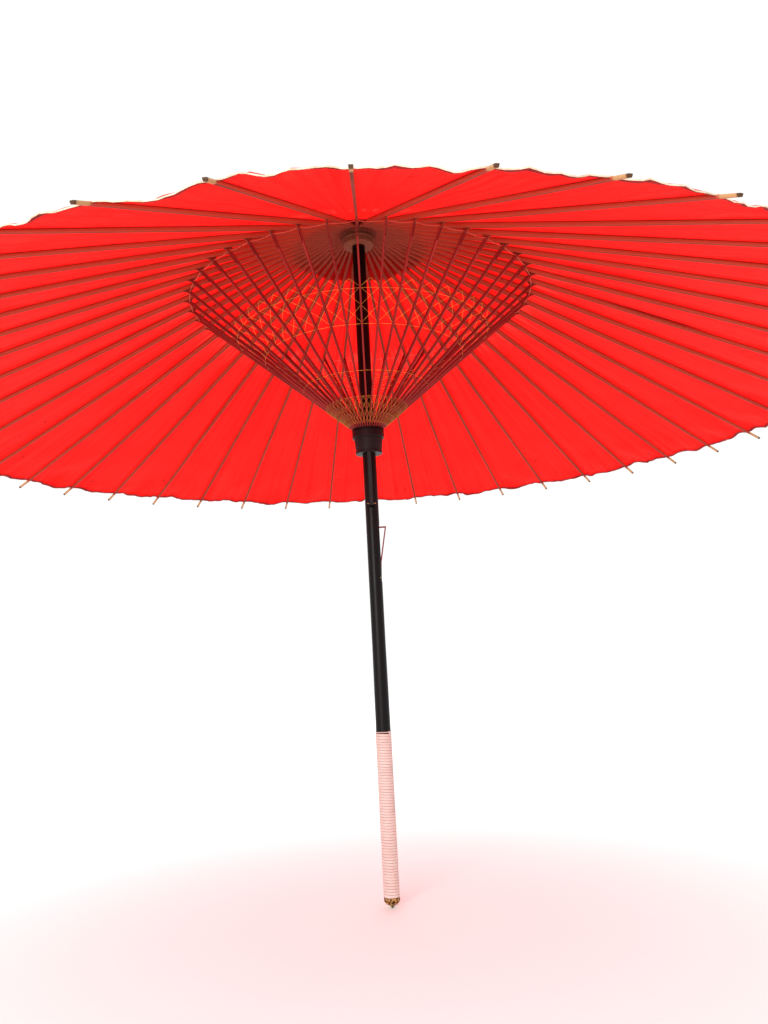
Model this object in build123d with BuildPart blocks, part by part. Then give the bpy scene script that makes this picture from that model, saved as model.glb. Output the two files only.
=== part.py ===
"""Oil-paper umbrella, open, standing on its butt cap. Millimetres, +Z up the pole."""
from build123d import *
from math import atan2, cos, degrees, hypot, radians, sin
import os

os.makedirs("parts", exist_ok=True)

# ---- driving dimensions ----
rib_count = 44
tip_radius = 525.0          # rib tips, umbrella open
tip_z = 502.6               # middle of a rib's end face
joint_radius = 191.6        # stretcher-to-rib pivots
joint_z = 651.7
paper_radius = 510.0        # hem of the paper along a rib
hood_radius = 78.0

pole_radius = 7.3
pole_foot_radius = 7.8      # under the rattan
pole_taper_top = 270.0
cap_height = 10.7
grip_top = 176.2
grip_radius = 8.4
pole_top = 750.0

hub_pivot_radius = 16.5
hub_bottom = 720.5
hub_drum_radius = 18.2
hub_collar_radius = 17.6
crown_radius = 12.5
crown_top = 757.0
waist_radius = 10.6

runner_pivot_radius = 15.8
runner_pivot_z = 504.5
runner_bottom = 475.1
runner_step = 492.4
runner_top = 508.7
runner_drum_radius = 17.6
runner_bore_clearance = 0.3

rib_under = 2.0             # underside of a rib above its pivot line
rib_upper = 6.6
rib_width_under = 2.2
rib_width_upper = 2.8
rib_start = 1.9             # where the full width begins, from the pivot
rib_tongue_thickness = 1.2
joint_drop = 0.7            # joint pivot below the hub pivot's line
tenon_thickness = 1.0

stretcher_width = 1.8
stretcher_height = 3.2
stretcher_start = 4.2
stretcher_tongue_thickness = 1.1
fork_length = 14.0
fork_gap = 1.2
fork_width = 2.1

slot_clearance = 0.2
thread_radius = 0.35
thread_hole_radius = 0.6
tunnel_radius = 0.55
paper_thickness = 0.3
paper_gap = 0.4

catch_width = 4.0
catch_reach = 14.5          # how far the sprung corner stands from the axis
catch_thickness = 1.3
catch_length = 58.0
catch_bend_depth = 39.0     # where the slanted leg reaches the pole's surface
catch_pin_radius = 0.6
catch_pin_drop = 56.0
catch_pin_offset = 6.0
upper_catch_top = runner_bottom - 0.3
lower_catch_top = 393.5
half_open_drop = runner_bottom - 0.3 - lower_catch_top

# ---- worked out from the driving dimensions ----
pitch = 360.0 / rib_count
rib_middle = (rib_under + rib_upper) / 2
outer_run = tip_radius - joint_radius
outer_fall = joint_z - tip_z
outer_normal = rib_middle + joint_drop
outer_length = (outer_run**2 + outer_fall**2 - outer_normal**2) ** 0.5
slope = degrees(atan2(outer_fall, outer_run) + atan2(outer_normal, outer_length))
slope_cos = cos(radians(slope))
slope_sin = sin(radians(slope))
joint_along = (joint_radius - hub_pivot_radius + joint_drop * slope_sin) / slope_cos
hub_pivot_z = joint_z + joint_along * slope_sin + joint_drop * slope_cos
rib_length = joint_along + outer_length

stretcher_run = joint_radius - runner_pivot_radius
stretcher_rise = joint_z - runner_pivot_z
stretcher_length = hypot(stretcher_run, stretcher_rise)
stretcher_slope = degrees(atan2(stretcher_rise, stretcher_run))

closed_joint_z = hub_pivot_z - joint_along
runner_travel = runner_pivot_z - (closed_joint_z - stretcher_length)

# Side planes through the axis: X runs along the stick, Y is square to it.
rib_side = Plane(
    origin=(hub_pivot_radius, 0, hub_pivot_z),
    x_dir=(slope_cos, 0, -slope_sin),
    z_dir=(0, -1, 0),
)
stretcher_side = Plane(
    origin=(runner_pivot_radius, 0, runner_pivot_z),
    x_dir=(cos(radians(stretcher_slope)), 0, sin(radians(stretcher_slope))),
    z_dir=(0, -1, 0),
)


def save(builder, label):
    """Name a finished piece and write its STEP file."""
    builder.part.label = label
    export_step(builder.part, f"parts/{label}.step")


def rib_point(along, normal):
    """Radius and height of a point given along and square to a rib."""
    return (
        hub_pivot_radius + along * slope_cos + normal * slope_sin,
        hub_pivot_z - along * slope_sin + normal * slope_cos,
    )


def along_rib_at(radius, normal):
    """Distance along a rib at which a line square to it has this radius."""
    return (radius - hub_pivot_radius - normal * slope_sin) / slope_cos


def ring(major, minor, z):
    """A closed thread ring lying level about the pole."""
    with BuildPart() as loop:
        with Locations((0, 0, z)):
            Torus(major, minor)
    return loop.part


# ---- pole: a lacquered stick, slotted for its two catches ----
catches = {"upper_catch": (upper_catch_top, -90.0), "lower_catch": (lower_catch_top, 0.0)}
slot_width = catch_width + 2 * slot_clearance
slot_inner = -4.6
slot_head = 2.0
slot_foot = 2.5

with BuildPart() as shaft:
    with BuildSketch(Plane.XZ):
        with BuildLine():
            Polyline(
                (0, cap_height - 6),
                (pole_foot_radius - 2.2, cap_height - 6),
                (pole_foot_radius - 2.2, cap_height),
                (pole_foot_radius, cap_height),
                (pole_foot_radius, grip_top),
                (pole_radius, pole_taper_top),
                (pole_radius, pole_top),
                (0, pole_top),
                close=True,
            )
        make_face()
    revolve(axis=Axis.Z)
    for catch_top, azimuth in catches.values():
        slot_height = catch_length + slot_head + slot_foot
        slot_depth = 2 * pole_radius - slot_inner
        with Locations(Location((0, 0, catch_top + slot_head), (0, 0, azimuth))):
            with Locations((slot_inner, 0, 0)):
                Box(
                    slot_depth, slot_width, slot_height,
                    align=(Align.MIN, Align.CENTER, Align.MAX), mode=Mode.SUBTRACT,
                )
        with Locations(Location((0, 0, catch_top - catch_pin_drop), (0, 0, azimuth))):
            with Locations(Location((catch_pin_offset, 0, 0), (90, 0, 0))):
                Cylinder(catch_pin_radius, 4 * pole_radius, mode=Mode.SUBTRACT)
save(shaft, "shaft")

# ---- rattan binding on the grip ----
with BuildPart() as grip_wrap:
    with BuildSketch(Plane.XY.offset(cap_height)):
        Circle(grip_radius)
        Circle(pole_foot_radius, mode=Mode.SUBTRACT)
    extrude(amount=grip_top - cap_height)
    chamfer(grip_wrap.edges().group_by(Axis.Z)[-1].sort_by(SortBy.LENGTH)[-1], 0.3)
save(grip_wrap, "grip_wrap")

# ---- brass butt cap: a fluted dome that ends in a small nub ----
nub_radius = 2.0
flute_count = 8
flute_radius = 2.2
cap_radius = grip_radius - 0.1

with BuildPart() as butt_cap:
    with BuildSketch(Plane.XZ):
        with BuildLine():
            Line((0, cap_height), (cap_radius, cap_height))
            Line((cap_radius, cap_height), (cap_radius, 7.2))
            ThreePointArc((cap_radius, 7.2), (6.4, 4.6), (3.0, 3.0))
            Line((3.0, 3.0), (nub_radius, nub_radius))
            CenterArc((0, nub_radius), nub_radius, -90, 90)
            Line((0, 0), (0, cap_height))
        make_face()
    revolve(axis=Axis.Z)
    with BuildSketch(Plane.XY.offset(cap_height - 6)):
        Circle(pole_foot_radius - 2.2)
    extrude(amount=6, mode=Mode.SUBTRACT)
    with PolarLocations(cap_radius + 1.0, flute_count):
        with Locations((0, 0, 3.2)):
            Sphere(flute_radius + 0.6, mode=Mode.SUBTRACT)
save(butt_cap, "butt_cap")

# ---- upper hub: slotted drum, string waist and crown ----
slot_floor = hub_pivot_z - 5.0
drum_top = hub_pivot_z + 3.6
hub_slot_bottom_radius = 13.8
hub_slot_width = rib_tongue_thickness + slot_clearance
crown_bottom = 748.0

with BuildPart() as upper_hub:
    with BuildSketch(Plane.XZ):
        with BuildLine():
            Polyline(
                (0, hub_bottom),
                (hub_collar_radius - 1.2, hub_bottom),
                (hub_collar_radius, hub_bottom + 1.2),
                (hub_collar_radius, slot_floor - 1.5),
                (hub_drum_radius, slot_floor - 0.9),
                (hub_drum_radius, drum_top),
                (waist_radius + 2.0, drum_top),
                (waist_radius, drum_top + 2.0),
                (waist_radius, crown_bottom - 1.0),
                (crown_radius, crown_bottom + 1.0),
                (crown_radius, crown_top - 3.5),
                (crown_radius - 1.2, crown_top - 1.2),
                (crown_radius - 4.0, crown_top),
                (0, crown_top),
                close=True,
            )
        make_face()
    revolve(axis=Axis.Z)
    with BuildSketch(Plane.XY.offset(hub_bottom)):
        Circle(pole_radius)
    extrude(amount=pole_top - hub_bottom, mode=Mode.SUBTRACT)
    with PolarLocations(0, rib_count):
        with Locations((hub_slot_bottom_radius, 0, slot_floor)):
            Box(
                2 * hub_drum_radius, hub_slot_width, 4 * hub_drum_radius,
                align=(Align.MIN, Align.CENTER, Align.MIN), mode=Mode.SUBTRACT,
            )
    with Locations((0, 0, hub_pivot_z)):
        Torus(hub_pivot_radius, tunnel_radius, mode=Mode.SUBTRACT)
save(upper_hub, "upper_hub")

# ---- one rib, pointing along +X ----
rib_section = Plane(
    origin=rib_side.from_local_coords((rib_start, 0, 0)),
    x_dir=(0, 1, 0),
    z_dir=(slope_cos, 0, -slope_sin),
)
hem_along = along_rib_at(paper_radius - 4.0, rib_middle)
tenon_half = 7.0
tenon_nose = 2.2
tongue_nose = 2.1

with BuildPart() as rib_master:
    with BuildSketch(rib_section):
        Polygon(
            (-rib_width_under / 2, rib_under),
            (rib_width_under / 2, rib_under),
            (rib_width_upper / 2, rib_upper),
            (-rib_width_upper / 2, rib_upper),
            align=None,
        )
    extrude(amount=rib_length - rib_start)
    with BuildSketch(rib_side):
        Circle(tongue_nose)
        Polygon(
            (0, -tongue_nose), (4.6, 2.2), (9, 2.2), (9, 4.4), (rib_start, 5.4), (-1.5, 1.4),
            align=None,
        )
    extrude(amount=rib_tongue_thickness / 2, both=True)
    with BuildSketch(rib_side):
        with Locations((joint_along, -joint_drop)):
            Circle(tenon_nose)
        Polygon(
            (joint_along - tenon_half, rib_under + 0.5),
            (joint_along - tenon_nose, -joint_drop),
            (joint_along + tenon_nose, -joint_drop),
            (joint_along + tenon_half, rib_under + 0.5),
            align=None,
        )
    extrude(amount=tenon_thickness / 2, both=True)
    with BuildSketch(rib_side):
        with Locations((0, 0), (joint_along, -joint_drop), (hem_along, rib_middle)):
            Circle(thread_hole_radius)
    extrude(amount=rib_width_upper, both=True, mode=Mode.SUBTRACT)

for number in range(rib_count):
    with BuildPart() as rib:
        add(rib_master.part.rotate(Axis.Z, number * pitch))
    save(rib, f"rib_{number + 1:02d}")

# ---- runner: slotted drum over a tapered sleeve ----
runner_slot_bottom_radius = 13.4
runner_slot_floor = runner_pivot_z - 4.5
runner_slot_width = stretcher_tongue_thickness + slot_clearance
runner_bore = pole_radius + runner_bore_clearance

with BuildPart() as runner:
    with BuildSketch(Plane.XZ):
        with BuildLine():
            Polyline(
                (runner_bore, runner_bottom),
                (14.3, runner_bottom),
                (14.8, runner_bottom + 0.6),
                (14.8, runner_bottom + 2.6),
                (14.3, runner_bottom + 3.2),
                (15.7, runner_step - 1.2),
                (15.7, runner_step),
                (runner_drum_radius - 0.4, runner_step),
                (runner_drum_radius, runner_step + 0.6),
                (runner_drum_radius, runner_top - 0.6),
                (runner_drum_radius - 0.6, runner_top),
                (runner_bore, runner_top),
                close=True,
            )
        make_face()
    revolve(axis=Axis.Z)
    with PolarLocations(0, rib_count):
        with Locations((runner_slot_bottom_radius, 0, runner_slot_floor)):
            Box(
                2 * runner_drum_radius, runner_slot_width, runner_drum_radius,
                align=(Align.MIN, Align.CENTER, Align.MIN), mode=Mode.SUBTRACT,
            )
    with Locations((0, 0, runner_pivot_z)):
        Torus(runner_pivot_radius, tunnel_radius, mode=Mode.SUBTRACT)
save(runner, "runner")

# ---- stretchers: a tongue in the runner, a fork round each rib's tenon ----
decor_stations = (38.0, 70.0, 124.0, 168.0)   # distances along a stretcher
stretcher_nose = 1.7
body_end = stretcher_length - fork_length

with BuildPart() as stretcher_master:
    with BuildSketch(stretcher_side):
        Polygon(
            (stretcher_start, -stretcher_height / 2),
            (body_end, -stretcher_height / 2),
            (body_end, stretcher_height / 2),
            (stretcher_start, stretcher_height / 2),
            align=None,
        )
    extrude(amount=stretcher_width / 2, both=True)
    with BuildSketch(stretcher_side):
        Circle(stretcher_nose)
        Polygon(
            (0, -stretcher_nose), (8, -1.3), (8, 1.3), (0, stretcher_nose),
            align=None,
        )
    extrude(amount=stretcher_tongue_thickness / 2, both=True)
    with BuildSketch(stretcher_side):
        with Locations((stretcher_length, 0)):
            Circle(stretcher_nose)
        Polygon(
            (body_end - 1, -stretcher_height / 2),
            (stretcher_length, -stretcher_nose),
            (stretcher_length, stretcher_nose),
            (body_end - 1, stretcher_height / 2),
            align=None,
        )
    extrude(amount=fork_width / 2, both=True)
    with BuildSketch(stretcher_side):
        with Locations((body_end + 2, 0)):
            Rectangle(
                2 * fork_length, 2 * stretcher_height, align=(Align.MIN, Align.CENTER),
            )
    extrude(amount=fork_gap / 2, both=True, mode=Mode.SUBTRACT)
    stations = [(0, 0), (stretcher_length, 0)] + [(along, 0) for along in decor_stations]
    with BuildSketch(stretcher_side):
        with Locations(*stations):
            Circle(thread_hole_radius)
    extrude(amount=fork_width, both=True, mode=Mode.SUBTRACT)

with BuildPart() as stretchers:
    with PolarLocations(0, rib_count):
        add(stretcher_master.part)
save(stretchers, "stretchers")

# ---- catches: springy bent strips that stand out of the pole ----
catch_inner = 4.2


def bent_strip(catch_top, azimuth):
    """One catch, its flat top at catch_top, its foot held by a cross pin."""
    with BuildPart() as strip:
        with BuildSketch(Plane.XZ):
            Polygon(
                (catch_inner, catch_top),
                (catch_reach, catch_top),
                (pole_radius + 0.3, catch_top - catch_bend_depth),
                (pole_radius - 0.5, catch_top - catch_length),
                (pole_radius - 0.5 - 2 * catch_thickness, catch_top - catch_length),
                (pole_radius + 0.3 - 1.15 * catch_thickness, catch_top - catch_bend_depth),
                (catch_reach - 1.25 * catch_thickness, catch_top - catch_thickness),
                (catch_inner, catch_top - catch_thickness),
                align=None,
            )
        extrude(amount=catch_width / 2, both=True)
        with Locations(Location((catch_pin_offset, 0, catch_top - catch_pin_drop), (90, 0, 0))):
            Cylinder(catch_pin_radius + 0.1, 2 * catch_width, mode=Mode.SUBTRACT)
    with BuildPart() as turned:
        add(strip.part.rotate(Axis.Z, azimuth))
    return turned


for label, (catch_top, azimuth) in catches.items():
    save(bent_strip(catch_top, azimuth), label)

# The pins are filed flush with the round of the pole, so that the runner passes over them.
pin_recess = 0.1
with BuildPart() as catch_pins:
    for catch_top, azimuth in catches.values():
        with Locations(Location((0, 0, catch_top - catch_pin_drop), (0, 0, azimuth))):
            with Locations(Location((catch_pin_offset, 0, 0), (90, 0, 0))):
                Cylinder(catch_pin_radius, 2 * pole_radius)
    with Locations((0, 0, pole_top / 2)):
        Cylinder(pole_radius - pin_recess, pole_top, mode=Mode.INTERSECT)
save(catch_pins, "catch_pins")

# ---- paper: canopy cone on the ribs, and the hood tied over the crown ----
canopy_under = rib_upper + paper_gap
canopy_over = canopy_under + paper_thickness
canopy_start = 6.0
canopy_end = along_rib_at(paper_radius, canopy_under)

with BuildPart() as canopy:
    with BuildSketch(Plane.XZ):
        with BuildLine():
            Polyline(
                rib_point(canopy_start, canopy_under),
                rib_point(canopy_end, canopy_under),
                rib_point(canopy_end, canopy_over),
                rib_point(canopy_start, canopy_over),
                close=True,
            )
        make_face()
    revolve(axis=Axis.Z)
save(canopy, "canopy")

hood_under = canopy_over + paper_gap
hood_over = hood_under + paper_thickness
hood_end = along_rib_at(hood_radius, hood_under)
neck_radius = waist_radius + 0.5
hood_wall = neck_radius + paper_thickness
shoulder = rib_point(canopy_start, hood_under)
shoulder_over = rib_point(canopy_start, hood_over)
hood_bore = crown_radius + paper_gap
hood_top = crown_top + paper_gap

with BuildPart() as hood:
    with BuildSketch(Plane.XZ):
        with BuildLine():
            Polyline(
                (0, hood_top),
                (hood_bore, hood_top),
                (hood_bore, crown_bottom + 1.0),
                (neck_radius, crown_bottom - 1.0),
                (neck_radius, shoulder[1] + 3.0),
                shoulder,
                rib_point(hood_end, hood_under),
                rib_point(hood_end, hood_over),
                (shoulder_over[0], shoulder_over[1] + 0.1),
                (hood_wall, shoulder_over[1] + 3.2),
                (hood_wall, crown_bottom - 1.4),
                (hood_bore + paper_thickness, crown_bottom + 0.6),
                (hood_bore + paper_thickness, hood_top + paper_thickness),
                (0, hood_top + paper_thickness),
                close=True,
            )
        make_face()
    revolve(axis=Axis.Z)
save(hood, "hood")

# ---- threads ----
tie_turns = 3
tie_radius = 0.5
with BuildPart() as hood_tie:
    for turn in range(tie_turns):
        tie_z = crown_bottom - 2.2 - turn * 2 * tie_radius * 1.04
        add(ring(hood_wall + tie_radius + 0.02, tie_radius, tie_z))
save(hood_tie, "hood_tie")

with BuildPart() as hub_thread:
    add(ring(hub_pivot_radius, thread_radius, hub_pivot_z))
save(hub_thread, "hub_thread")

with BuildPart() as runner_thread:
    add(ring(runner_pivot_radius, thread_radius, runner_pivot_z))
save(runner_thread, "runner_thread")

hem_radius, hem_z = rib_point(hem_along, rib_middle)
with BuildPart() as ring_threads:
    add(ring(joint_radius, thread_radius, joint_z))
    add(ring(hem_radius, thread_radius, hem_z))
save(ring_threads, "ring_threads")

with BuildPart() as decor_threads:
    for along in decor_stations:
        station_radius = runner_pivot_radius + along * cos(radians(stretcher_slope))
        station_z = runner_pivot_z + along * sin(radians(stretcher_slope))
        add(ring(station_radius, thread_radius, station_z))
save(decor_threads, "decor_threads")

print("rib slope", round(slope, 3), "deg below level; length", round(rib_length, 2))
print("hub pivot", hub_pivot_radius, round(hub_pivot_z, 3), "joint along rib", round(joint_along, 2))
print("stretcher slope", round(stretcher_slope, 3), "length", round(stretcher_length, 2))
print("runner travel", round(runner_travel, 2), "half-open drop", round(half_open_drop, 2))
print("rib swing", round(90 - slope, 3), "deg; closed tips at z", round(hub_pivot_z - rib_length, 1))
print("hem ring", round(hem_radius, 2), round(hem_z, 2))
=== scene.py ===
import bpy, bmesh, math, random
from mathutils import Matrix, Vector, noise


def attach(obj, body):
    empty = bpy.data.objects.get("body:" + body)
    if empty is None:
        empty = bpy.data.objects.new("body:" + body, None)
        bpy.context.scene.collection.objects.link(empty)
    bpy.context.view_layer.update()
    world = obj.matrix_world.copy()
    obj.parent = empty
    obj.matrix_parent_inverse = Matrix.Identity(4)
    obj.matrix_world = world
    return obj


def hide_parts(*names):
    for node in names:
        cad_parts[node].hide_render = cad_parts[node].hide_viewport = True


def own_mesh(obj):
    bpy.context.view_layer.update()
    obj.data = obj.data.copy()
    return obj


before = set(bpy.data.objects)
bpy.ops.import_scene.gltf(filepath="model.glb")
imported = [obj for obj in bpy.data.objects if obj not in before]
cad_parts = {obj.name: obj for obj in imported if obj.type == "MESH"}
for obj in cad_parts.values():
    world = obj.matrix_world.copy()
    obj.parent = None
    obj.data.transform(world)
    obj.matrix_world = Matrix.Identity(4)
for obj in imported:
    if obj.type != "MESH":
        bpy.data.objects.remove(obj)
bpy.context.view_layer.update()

# Oil-paper umbrella, open. Metres, origin at the foot of the butt cap, +Z up the pole.
# On a stick, along runs outwards from its pivot, side is across it and lift is square to it.

scene = bpy.context.scene
mm = 0.001
print("frame loaded")

# camera: low in front, looking up under the canopy

view = dict(place=(0.0032, -0.9227, 0.2637), heading=-0.61, pitch=8.98, roll=-3.07, lens=29.93)

eye = bpy.data.cameras.new("eye")
eye.lens, eye.sensor_width = view["lens"], 36.0
eyeObject = bpy.data.objects.new("eye", eye)
scene.collection.objects.link(eyeObject)
eyeObject.matrix_world = (
    Matrix.Translation(view["place"])
    @ Matrix.Rotation(math.radians(view["heading"]), 4, "Z")
    @ Matrix.Rotation(math.radians(90 + view["pitch"]), 4, "X")
    @ Matrix.Rotation(math.radians(view["roll"]), 4, "Z")
)
scene.camera = eyeObject
scene.view_settings.view_transform = "Standard"
print("camera set")

# sizes that several pieces share

ribs = dict(count=44, pivotRadius=16.5 * mm, pivotHeight=733.673 * mm, slope=24.879, length=558.52 * mm,
            start=1.9 * mm, under=2.0 * mm, upper=6.6 * mm, widthUnder=2.2 * mm, widthUpper=2.8 * mm,
            tongue=1.2 * mm, tenon=1.0 * mm, jointAlong=193.34 * mm, jointDrop=0.7 * mm)
arms = dict(pivotRadius=15.8 * mm, pivotHeight=504.5 * mm, slope=-39.94, length=229.29 * mm,
            start=4.2 * mm, fork=14 * mm, forkGap=1.2 * mm, forkWidth=2.1 * mm, width=1.8 * mm,
            height=3.2 * mm, tongue=1.1 * mm, nose=1.7 * mm)
stepAngle = 2 * math.pi / ribs["count"]
ribNames = [f"rib_{k + 1:02d}" for k in range(ribs["count"])]


def stickPoint(stick, along, side, lift, azimuth=0.0):
    slope = math.radians(stick["slope"])
    radius = stick["pivotRadius"] + along * math.cos(slope) + lift * math.sin(slope)
    height = stick["pivotHeight"] - along * math.sin(slope) + lift * math.cos(slope)
    c, s = math.cos(azimuth), math.sin(azimuth)
    return Vector((radius * c - side * s, radius * s + side * c, height))


def spanPoint(along, across, lift, azimuth):
    # across runs from -1 to 1, from the middle of one bay over the rib to the middle of the next
    slope = math.radians(ribs["slope"])
    radius = ribs["pivotRadius"] + along * math.cos(slope) + lift * math.sin(slope)
    height = ribs["pivotHeight"] - along * math.sin(slope) + lift * math.cos(slope)
    inwards = radius * (1 - abs(across) * (1 - math.cos(stepAngle)) / 2)
    sideways = across * radius * math.sin(stepAngle) / 2
    c, s = math.cos(azimuth), math.sin(azimuth)
    return Vector((inwards * c - sideways * s, inwards * s + sideways * c, height))


# materials

def linear(hexColour):
    parts = [int(hexColour[i:i + 2], 16) / 255 for i in (1, 3, 5)]
    return [p / 12.92 if p <= 0.04045 else ((p + 0.055) / 1.055) ** 2.4 for p in parts] + [1.0]


def addNode(tree, kind, settings=None, **inputs):
    # inputs go by name, with _ for a space, or by place as i0, i1; a node given as a value is linked
    node = tree.nodes.new(kind)
    for name, value in (settings or {}).items():
        setattr(node, name, value)
    for name, value in inputs.items():
        byPlace = name[0] == "i" and name[1:].isdigit()
        socket = node.inputs[int(name[1:]) if byPlace else name.replace("_", " ")]
        if isinstance(value, bpy.types.Node):
            value = next(output for output in value.outputs if output.enabled)
        if isinstance(value, bpy.types.NodeSocket):
            tree.links.new(value, socket)
        else:
            socket.default_value = linear(value) if isinstance(value, str) else value
    return node


plus, minus, times = {"operation": "ADD"}, {"operation": "SUBTRACT"}, {"operation": "MULTIPLY"}
divided, unsigned = {"operation": "DIVIDE"}, {"operation": "ABSOLUTE"}
timesPlus = {"operation": "MULTIPLY_ADD"}
smooth = {"interpolation_type": "SMOOTHSTEP"}
colour = {"data_type": "RGBA"}
filtered = {"data_type": "RGBA", "blend_type": "MULTIPLY"}


def newMaterial(name):
    material = bpy.data.materials.new(name)
    material.use_nodes = True
    material.node_tree.nodes.clear()
    return material, material.node_tree


def aroundPole(tree):
    # the place in metres, the same as angle round the pole, distance from it and height, and two of those alone
    place = addNode(tree, "ShaderNodeTexCoord").outputs["Object"]
    xyz = addNode(tree, "ShaderNodeSeparateXYZ", Vector=place)
    angle = addNode(tree, "ShaderNodeMath", {"operation": "ARCTAN2"}, i0=xyz.outputs["Y"], i1=xyz.outputs["X"])
    flat = addNode(tree, "ShaderNodeCombineXYZ", X=xyz.outputs["X"], Y=xyz.outputs["Y"])
    reach = addNode(tree, "ShaderNodeVectorMath", {"operation": "LENGTH"}, i0=flat)
    polar = addNode(tree, "ShaderNodeCombineXYZ", X=angle, Y=reach, Z=xyz.outputs["Z"])
    return place, polar, angle, reach


def tinted(tree, tone, layers):
    # each layer is a pattern, the values between which it fades in, its full strength and its tint
    for pattern, low, high, most, tint in layers:
        shown = addNode(tree, "ShaderNodeMapRange", smooth, Value=pattern, From_Min=low, From_Max=high, To_Max=most)
        tone = addNode(tree, "ShaderNodeMix", colour, i0=shown, i6=tone, i7=tint)
    return tone


# the canopy's wear: distances from the pole in metres
wear = dict(rubFrom=(0.186, 0.196), rubTo=(0.245, 0.205), rubbed="#FF5E52", dotsFrom=(0.36, 0.44), dots="#7A0D10",
            edgeFrom=(0.43, 0.51), edge="#B5281C", slitAngle=8.75, slitFrom=(0.225, 0.32), slitTo=(0.40, 0.34),
            slitWidth=1.8 * mm, slit="#3A0605")


def wornPaper(tree, tone, place, polar, angle, reach, cloud):
    # rubbed pale where the stretchers' joints touch, specks and a browned edge, and a slit beside one rib
    start = addNode(tree, "ShaderNodeMapRange", smooth, Value=reach, From_Min=wear["rubFrom"][0],
                    From_Max=wear["rubFrom"][1])
    end = addNode(tree, "ShaderNodeMapRange", smooth, Value=reach, From_Min=wear["rubTo"][0],
                  From_Max=wear["rubTo"][1])
    ring = addNode(tree, "ShaderNodeMath", times, i0=start, i1=end)
    streaks = addNode(tree, "ShaderNodeMapping", Vector=polar, Scale=(40, 9, 0))
    streaks = addNode(tree, "ShaderNodeTexNoise", Vector=streaks, Scale=1.0, Detail=3.0, Roughness=0.55)
    streaks = addNode(tree, "ShaderNodeMapRange", smooth, Value=streaks, From_Min=0.45, From_Max=0.66, To_Max=0.35)
    rubbed = addNode(tree, "ShaderNodeMath", times, i0=ring, i1=streaks)
    tone = addNode(tree, "ShaderNodeMix", colour, i0=rubbed, i6=tone, i7=wear["rubbed"])

    dots = addNode(tree, "ShaderNodeTexNoise", Vector=place, Scale=150.0, Detail=1.0, Roughness=0.55)  # about 7 mm
    dots = addNode(tree, "ShaderNodeMapRange", smooth, Value=dots, From_Min=0.735, From_Max=0.77)
    outer = addNode(tree, "ShaderNodeMapRange", smooth, Value=reach, From_Min=wear["dotsFrom"][0],
                    From_Max=wear["dotsFrom"][1], To_Max=0.8)
    dots = addNode(tree, "ShaderNodeMath", times, i0=dots, i1=outer)
    tone = addNode(tree, "ShaderNodeMix", colour, i0=dots, i6=tone, i7=wear["dots"])

    edge = addNode(tree, "ShaderNodeMapRange", smooth, Value=reach, From_Min=wear["edgeFrom"][0],
                   From_Max=wear["edgeFrom"][1])
    stain = addNode(tree, "ShaderNodeMapRange", smooth, Value=cloud, From_Min=0.45, From_Max=0.8, To_Max=0.35)
    edge = addNode(tree, "ShaderNodeMath", times, i0=edge, i1=stain)
    tone = addNode(tree, "ShaderNodeMix", colour, i0=edge, i6=tone, i7=wear["edge"])

    off = addNode(tree, "ShaderNodeMath", plus, i0=angle, i1=math.radians(wear["slitAngle"]))
    off = addNode(tree, "ShaderNodeMath", unsigned, i0=off)
    wander = addNode(tree, "ShaderNodeMapping", Vector=polar, Scale=(0, 60, 0))
    wander = addNode(tree, "ShaderNodeTexNoise", Vector=wander, Scale=1.0, Detail=3.0, Roughness=0.55)
    wander = addNode(tree, "ShaderNodeMath", times, i0=wander, i1=0.002)
    off = addNode(tree, "ShaderNodeMath", plus, i0=off, i1=wander)
    off = addNode(tree, "ShaderNodeMath", times, i0=off, i1=reach)
    opens = addNode(tree, "ShaderNodeMapRange", smooth, Value=reach, From_Min=wear["slitFrom"][0],
                    From_Max=wear["slitFrom"][1], To_Max=wear["slitWidth"])
    closes = addNode(tree, "ShaderNodeMapRange", smooth, Value=reach, From_Min=wear["slitTo"][0],
                     From_Max=wear["slitTo"][1])
    wide = addNode(tree, "ShaderNodeMath", times, i0=opens, i1=closes)
    slit = addNode(tree, "ShaderNodeMath", {"operation": "LESS_THAN"}, i0=off, i1=wide)
    slit = addNode(tree, "ShaderNodeMath", times, i0=slit, i1=0.95)
    return addNode(tree, "ShaderNodeMix", colour, i0=slit, i6=tone, i7=wear["slit"])


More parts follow.
